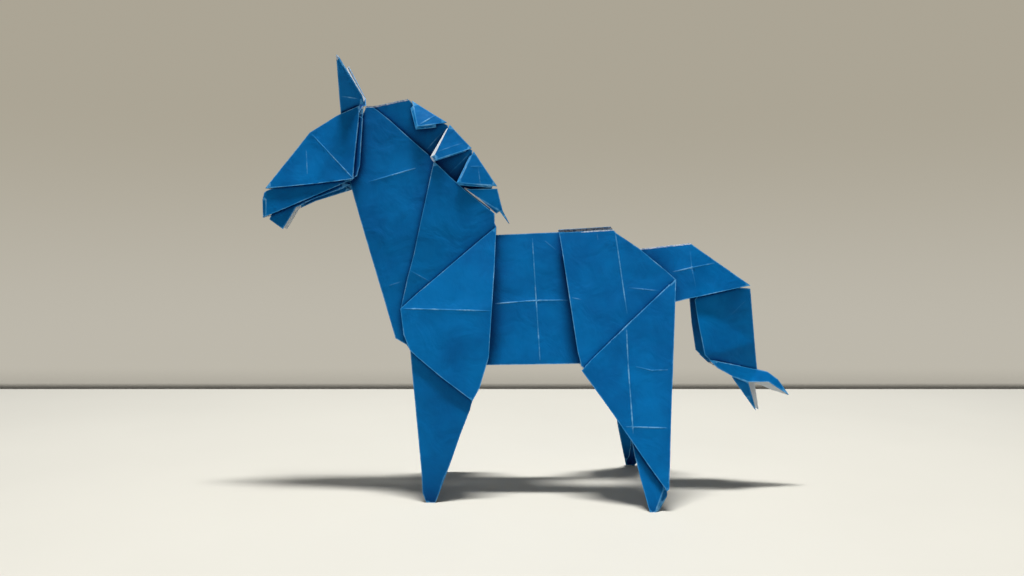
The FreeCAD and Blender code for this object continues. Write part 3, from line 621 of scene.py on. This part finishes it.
# The size of each noise, and the band that it is read through: from, to, and the values at both.
MOTTLE_SIZE, MOTTLE_BAND = 14 * MM, (0.36, 0.66)
FIBRE_SIZE, FIBRE_BAND = 0.16 * MM, (0.45, 0.8, 0.0, 0.25)
PATCH_SIZE, PATCH_BAND = 3.5 * MM, (0.40, 0.62, 0.15, 1.0)
BREAK_SIZE, BREAK_BAND = 0.7 * MM, (0.38, 0.60, 0.30, 1.0)
SHEEN_SIZE, SHEEN_BAND = 3 * MM, (0.3, 0.7, 0.46, 0.60)
BARE_MOTTLE_SIZE, BARE_MOTTLE_BAND = 5 * MM, (0.3, 0.7)
CARD_MOTTLE_SIZE = 0.05
SEAM_MOTTLE_SIZE = 0.02

# Bands over the numbers stored in the mesh: millimetres from the line, or shares of a bare edge.
FOLD_BAND = (0.05, 0.24, 1.0, 0.0)
CREASE_BAND = (0.02, 0.20, 1.0, 0.0)
BARE_BAND = (0.6, 1.0, 1.0, 0.0)

# How far the painted shade between layers reaches, and the band that it is read through.
CLOSE_PAINTED_SHADE = (2.0 * MM, 0.20, 0.80)
WIDE_PAINTED_SHADE = (7.0 * MM, 0.42, 0.96, 0.12)
PAINTED_SHADE_SAMPLES = 6

# How much of the fold colour, and of the worn colour, a fold and a crease take. Along creases the
# pale line is wear; along outer folds it is partly wear and partly a painted highlight.
FOLD_HIGHLIGHT_AND_WEAR_TINT, CREASE_TINT = 0.5, 0.4
FOLD_WEAR_AND_HIGHLIGHT, CREASE_WEAR = 0.55, 0.7

# The size and the height of the relief.
WRINKLE_SIZE, WRINKLE_HEIGHT = 6.0 * MM, 0.30 * MM
GRAIN_SIZE, GRAIN_HEIGHT = 0.14 * MM, 0.008 * MM
CREASE_HEIGHT = 0.05 * MM

# How dark the darkest blotches are, as a share of the colour.
BARE_BLOTCH, CARD_BLOTCH, SEAM_BLOTCH = 0.86, 0.94, 0.8

# The shade at the back edge of the table: its height, its colour as a share of the backdrop's, and
# the bands over the height of its dark line and of its soft part.
SEAM_HEIGHT = 9 * MM
SEAM_DARKNESS = 0.12
SEAM_LINE = (0.3 * MM, 3.0 * MM, 0.93, 0.0)
SEAM_SOFT = (0.0, SEAM_HEIGHT, 0.20, 0.0)

AIR_COLOUR = (0.9, 0.95, 1.0, 1.0)
# The backdrop goes from its low to its high colour while the line of sight rises by this much.
BACKDROP_RISE = (-0.12, 0.16)


class Nodes:
    """Adds nodes to one node tree and joins them up."""

    def __init__(self, tree):
        self.tree = tree
        self.tree.nodes.clear()

    def add(self, kind, settings=None, **sockets):
        """Adds a node. Each socket is given a value, or the output socket that it is joined to."""
        node = self.tree.nodes.new(kind)
        for name, value in (settings or {}).items():
            setattr(node, name, value)
        self.fill(node, **sockets)
        return node

    def fill(self, node, **sockets):
        """Sets sockets by their names, in which an underscore stands for a space."""
        for name, value in sockets.items():
            self.set(node.inputs[name.replace("_", " ")], value)

    def set(self, socket, value):
        """Gives a socket a value, or joins it to an output socket."""
        if isinstance(value, bpy.types.NodeSocket):
            self.tree.links.new(value, socket)
        else:
            socket.default_value = value

    def place(self):
        """The place on the object."""
        return self.add("ShaderNodeTexCoord").outputs["Object"]

    def height(self, place):
        """The last part of a place or a direction."""
        return self.add("ShaderNodeSeparateXYZ", Vector=place).outputs["Z"]

    def grain(self, size, detail=3.0, roughness=0.5, distortion=0.0):
        """Noise from 0 to 1, whose blotches are about this big, in metres."""
        node = self.add("ShaderNodeTexNoise", Vector=self.place(), Scale=1 / size, Detail=detail,
                        Roughness=roughness, Distortion=distortion)
        return node.outputs["Fac"]

    def number(self, name):
        """A number that is stored in the mesh."""
        return self.add("ShaderNodeAttribute", {"attribute_name": name}).outputs["Fac"]

    def band(self, value, low, high, at_low=0.0, at_high=1.0):
        """Goes smoothly from one value to another while the input goes from low to high."""
        node = self.add("ShaderNodeMapRange", {"interpolation_type": "SMOOTHSTEP"})
        for socket, given in zip(node.inputs, (value, low, high, at_low, at_high)):
            self.set(socket, given)
        return node.outputs["Result"]

    def maths(self, operation, a, b):
        """Joins two numbers, by the name of the operation."""
        node = self.add("ShaderNodeMath", {"operation": operation})
        for socket, given in zip(node.inputs, (a, b)):
            self.set(socket, given)
        return node.outputs[0]

    def times(self, a, b):
        """One number times another."""
        return self.maths("MULTIPLY", a, b)

    def mix(self, share, a, b):
        """A colour between a and b. The sockets of a colour mix are numbers 0, 6 and 7."""
        node = self.add("ShaderNodeMix", {"data_type": "RGBA"})
        for index, given in ((0, share), (6, a), (7, b)):
            self.set(node.inputs[index], given)
        return node.outputs[2]

    def painted_crevice_shade(self, reach, low, high, deep=0.0):
        """Painted shade: 1 in the open, and as low as this deep between two layers of paper."""
        settings = {"samples": PAINTED_SHADE_SAMPLES}
        occlusion = self.add("ShaderNodeAmbientOcclusion", settings, Distance=reach)
        return self.band(occlusion.outputs["AO"], low, high, deep, 1.0)

    def bump(self, height, distance, over=None):
        """Relief of this height, in metres, on top of the relief that is given."""
        node = self.add("ShaderNodeBump", Height=height, Distance=distance, Strength=1.0)
        if over is not None:
            self.fill(node, Normal=over)
        return node.outputs["Normal"]


class Coat(Nodes):
    """The nodes of one material."""

    def __init__(self, name):
        self.material = bpy.data.materials.new(name)
        self.material.use_nodes = True
        super().__init__(self.material.node_tree)
        self.surface = self.add("ShaderNodeBsdfPrincipled")
        self.add("ShaderNodeOutputMaterial", Surface=self.surface.outputs["BSDF"])

    def finish(self, **sockets):
        """Sets the surface's sockets, and returns the material."""
        self.fill(self.surface, **sockets)
        return self.material


def opaque(colour):
    """The colour as a socket takes it, with no part of it see-through."""
    return (*colour, 1.0)


def shaded(colour, share):
    """A darker colour: this share of the one that is given."""
    return tuple(share * part for part in colour)


def coloured_paper(paper):
    """The dyed side: a little sheen, soft mottling, painted shade between layers, and pale broken
    lines where it has been folded, which along outer folds are partly a painted highlight.
    """
    coat = Coat("coloured_paper")
    rubbed, worn_highlight_paint = opaque(paper.face_light), opaque(paper.worn_and_highlight_colour)
    pale_wear_and_highlight = opaque(paper.fold_wear_and_highlight_colour)

    mottle = coat.band(coat.grain(MOTTLE_SIZE, 5.0, 0.6), *MOTTLE_BAND)
    fibre = coat.band(coat.grain(FIBRE_SIZE, 2.0), *FIBRE_BAND)
    patchy = coat.band(coat.grain(PATCH_SIZE, 2.0, 0.5), *PATCH_BAND)
    broken = coat.band(coat.grain(BREAK_SIZE, 4.0, 0.7), *BREAK_BAND)
    # Painted shade: darker where other paper lies close by, as in recesses between layers.
    unshaded_share = coat.times(coat.painted_crevice_shade(*CLOSE_PAINTED_SHADE), coat.painted_crevice_shade(*WIDE_PAINTED_SHADE))
    fold = coat.band(coat.number("fold_mm"), *FOLD_BAND)
    crease = coat.band(coat.number("crease_mm"), *CREASE_BAND)
    crease = coat.times(crease, coat.number("crease_strength"))
    # Pale broken lines along folds and creases: wear, and along outer folds partly a painted
    # highlight.
    worn = coat.maths("MAXIMUM", coat.times(fold, FOLD_WEAR_AND_HIGHLIGHT), coat.times(crease, CREASE_WEAR))
    worn = coat.times(worn, coat.times(patchy, broken))
    bare = coat.band(coat.number("bare_share"), *BARE_BAND)

    dyed = coat.mix(mottle, opaque(paper.face_colour), rubbed)
    dyed = coat.mix(fibre, dyed, rubbed)
    # Paints that shade in the dark colour.
    dyed = coat.mix(unshaded_share, opaque(paper.painted_shade_colour), dyed)
    # Pale tint along outer folds: partly wear, partly a painted highlight.
    dyed = coat.mix(coat.times(fold, FOLD_HIGHLIGHT_AND_WEAR_TINT), dyed, pale_wear_and_highlight)
    dyed = coat.mix(coat.times(crease, CREASE_TINT), dyed, pale_wear_and_highlight)
    dyed = coat.mix(worn, dyed, worn_highlight_paint)
    dyed = coat.mix(coat.times(bare, broken), dyed, opaque(paper.reverse_colour))

    sheen = coat.band(coat.grain(SHEEN_SIZE), *SHEEN_BAND)
    return coat.finish(Base_Color=dyed, Roughness=sheen, Specular_IOR_Level=0.07,
                       Normal=paper_relief(coat, crease))


def paper_relief(coat, crease=None):
    """Small wrinkles from handling, and the fibres of the paper."""
    relief = coat.bump(coat.grain(WRINKLE_SIZE, 3.0, 0.5, 0.6), WRINKLE_HEIGHT)
    if crease is not None:
        relief = coat.bump(crease, CREASE_HEIGHT, relief)
    return coat.bump(coat.grain(GRAIN_SIZE, 2.0), GRAIN_HEIGHT, relief)


def bare_paper(name, colour):
    """The undyed side, or the turned and cut edges: matt paper of one colour."""
    coat = Coat(name)
    mottle = coat.band(coat.grain(BARE_MOTTLE_SIZE, 4.0, 0.6), *BARE_MOTTLE_BAND)
    paint = coat.mix(mottle, opaque(colour), opaque(shaded(colour, BARE_BLOTCH)))
    return coat.finish(Base_Color=paint, Roughness=0.8, Specular_IOR_Level=0.25,
                       Normal=paper_relief(coat))


def table_card(colour):
    """Pale card with faint blotches."""
    coat = Coat("table_card")
    mottle = coat.grain(CARD_MOTTLE_SIZE, 3.0, 0.55)
    paint = coat.mix(mottle, opaque(colour), opaque(shaded(colour, CARD_BLOTCH)))
    return coat.finish(Base_Color=paint, Roughness=0.6, Specular_IOR_Level=0.2)


def seam_shade(colour):
    """The shade along the back edge of the table, which fades out upwards."""
    coat = Coat("seam_shade")
    dark = shaded(colour, SEAM_DARKNESS)
    mottle = coat.grain(SEAM_MOTTLE_SIZE, 3.0, 0.55)
    paint = coat.mix(mottle, opaque(dark), opaque(shaded(dark, SEAM_BLOTCH)))
    height = coat.height(coat.place())
    cover = coat.maths("MAXIMUM", coat.band(height, *SEAM_LINE), coat.band(height, *SEAM_SOFT))
    return coat.finish(Base_Color=paint, Alpha=cover, Roughness=0.8)


def studio_air(table):
    """Even light from all round. The camera sees the backdrop's colours in its place."""
    world = bpy.data.worlds.new("studio_air")
    world.use_nodes = True
    nodes = Nodes(world.node_tree)
    air = nodes.add("ShaderNodeBackground", Color=AIR_COLOUR, Strength=table.air)
    direction = nodes.add("ShaderNodeTexCoord").outputs["Generated"]
    rise = nodes.band(nodes.height(direction), *BACKDROP_RISE)
    colour = nodes.mix(rise, opaque(table.low_colour), opaque(table.high_colour))
    backdrop = nodes.add("ShaderNodeBackground", Color=colour)
    seen = nodes.add("ShaderNodeLightPath").outputs["Is Camera Ray"]
    either = nodes.add("ShaderNodeMixShader")
    for socket, given in zip(either.inputs, (seen, air.outputs[0], backdrop.outputs[0])):
        nodes.set(socket, given)
    nodes.add("ShaderNodeOutputWorld", Surface=either.outputs[0])
    return world


# -------------------------------------------------------------------------------------------------
# Operators
# -------------------------------------------------------------------------------------------------

# Each lamp: its name, its place, the length and width of its face, and the setting with its power.
LAMPS = (
    ("lamp_above", (0.0, -0.03, 0.60), (0.20, 0.04), "key_power"),
    ("lamp_front", (-0.25, -1.0, 0.60), (1.2, 0.8), "fill_power"),
    ("lamp_back", (0.25, 1.0, 0.60), (1.2, 0.8), "back_power"),
)
LAMP_AIM = (0.0, 0.0, 0.04)

CAMERA_PLACE = (-0.003405, -0.176, 0.055)
CAMERA_TILT = math.radians(86.57)
CAMERA_LENS, CAMERA_SENSOR = 28.125, 36.0
CAMERA_CLIP = 0.01


def link_object(name, data):
    """Puts a new object into the scene."""
    made = bpy.data.objects.new(name, data)
    bpy.context.scene.collection.objects.link(made)
    return made


def paper_mesh(source, paper):
    """A finer copy of the sheet's mesh, with its sides marked, its creases raised and its bows."""
    segments = crease_segments()
    bm = bmesh.new()
    bm.from_mesh(source)
    bmesh.ops.remove_doubles(bm, verts=bm.verts, dist=WELD)
    sides_of_the_sheet(bm)
    change_sides(bm)
    fold = mark_folds(bm)
    score_creases(bm, segments)
    refine(bm, paper.facet * (1))
    bm.verts.index_update()
    bm.verts.ensure_lookup_table()
    to_crease = crease_distances(bm, segments)
    numbers = wear_numbers(bm, fold_distances(bm, fold), to_crease)
    shape_paper(bm, to_crease, paper)
    mesh = bpy.data.meshes.new("paper_sheet")
    bm.to_mesh(mesh)
    bm.free()
    for name, values in numbers.items():
        keep_number(mesh, name, values)
    return mesh


def plane(name, x_ends, y_ends, z_ends):
    """A flat rectangle, from one corner to the opposite one."""
    (left, right), (front, back), (low, high) = x_ends, y_ends, z_ends
    corners = ((left, front, low), (right, front, low), (right, back, high), (left, back, high))
    mesh = bpy.data.meshes.new(name)
    mesh.from_pydata(corners, [], [(0, 1, 2, 3)])
    return link_object(name, mesh)


def lamp(name, place, size, power):
    """A rectangular lamp that looks at the horse."""
    light = bpy.data.lights.new(name, "AREA")
    light.shape = "RECTANGLE"
    light.size, light.size_y = size
    light.energy = power
    made = link_object(name, light)
    made.location = place
    made.rotation_euler = (Vector(LAMP_AIM) - Vector(place)).to_track_quat("-Z", "Y").to_euler()


def stage_camera():
    """The camera, a little above the horse's middle and nearly level."""
    camera = bpy.data.cameras.new("camera")
    camera.lens = CAMERA_LENS
    camera.sensor_width = CAMERA_SENSOR
    camera.clip_start = CAMERA_CLIP
    view = link_object("camera", camera)
    view.location = CAMERA_PLACE
    view.rotation_euler = (CAMERA_TILT, 0.0, 0.0)
    return view


class PAPERHORSE_OT_sheet(bpy.types.Operator):
    """Dresses the folded sheet: two sides of paper, creases, worn folds that are partly a painted
    highlight, painted shade between layers, and slight bows
    """
    bl_idname = "paperhorse.sheet"
    bl_label = "Folded sheet"
    bl_options = {"REGISTER", "UNDO"}

    def execute(self, context):
        paper = context.scene.paper_horse
        mesh = paper_mesh(frame["nodes"][SHEET_NODE].data, paper)
        mesh.materials.append(coloured_paper(paper))
        mesh.materials.append(bare_paper("bare_side", paper.reverse_colour))
        mesh.materials.append(bare_paper("cut_edge", paper.edge_colour))
        sheet = link_object("paper_sheet", mesh)
        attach(sheet, "root")
        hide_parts(SHEET_NODE)
        print("paper_sheet", len(mesh.polygons), "faces")
        return {"FINISHED"}


class PAPERHORSE_OT_table(bpy.types.Operator):
    """Sets up the table, the backdrop, the lamps and the camera"""
    bl_idname = "paperhorse.table"
    bl_label = "Table and lamps"
    bl_options = {"REGISTER", "UNDO"}

    def execute(self, context):
        table = context.scene.paper_table
        reach, end = table.table_reach, table.table_end
        floor = plane("table_top", (-reach, reach), (-reach, end), (0.0, 0.0))
        floor.data.materials.append(table_card(table.floor_colour))
        # A dark sheet that paints the shade where the table meets the backdrop.
        seam = plane("table_seam", (-reach, reach), (end, end), (0.0, SEAM_HEIGHT))
        seam.data.materials.append(seam_shade(table.low_colour))
        seam.visible_shadow = False
        for name, place, size, power in LAMPS:
            lamp(name, place, size, getattr(table, power))
        context.scene.world = studio_air(table)
        context.scene.camera = stage_camera()
        context.scene.view_settings.view_transform = "Standard"
        return {"FINISHED"}


# -------------------------------------------------------------------------------------------------
# Panel and registration
# -------------------------------------------------------------------------------------------------

class PAPERHORSE_PT_panel(bpy.types.Panel):
    """Lists the paper horse's tools in the sidebar"""
    bl_label = "Folded paper horse"
    bl_space_type = "VIEW_3D"
    bl_region_type = "UI"
    bl_category = "Paper horse"

    def draw(self, context):
        for operator in OPERATORS:
            self.layout.operator(operator.bl_idname)
        for settings in (context.scene.paper_horse, context.scene.paper_table):
            for name in settings.__annotations__:
                self.layout.prop(settings, name)


OPERATORS = (PAPERHORSE_OT_sheet, PAPERHORSE_OT_table)
CLASSES = (PaperSettings, TableSettings, *OPERATORS, PAPERHORSE_PT_panel)


def register():
    for kind in CLASSES:
        bpy.utils.register_class(kind)
    bpy.types.Scene.paper_horse = PointerProperty(type=PaperSettings)
    bpy.types.Scene.paper_table = PointerProperty(type=TableSettings)


def unregister():
    del bpy.types.Scene.paper_table
    del bpy.types.Scene.paper_horse
    for kind in reversed(CLASSES):
        bpy.utils.unregister_class(kind)


def main():
    register()
    bpy.ops.paperhorse.sheet()
    bpy.ops.paperhorse.table()


if __name__ == "__main__":
    main()
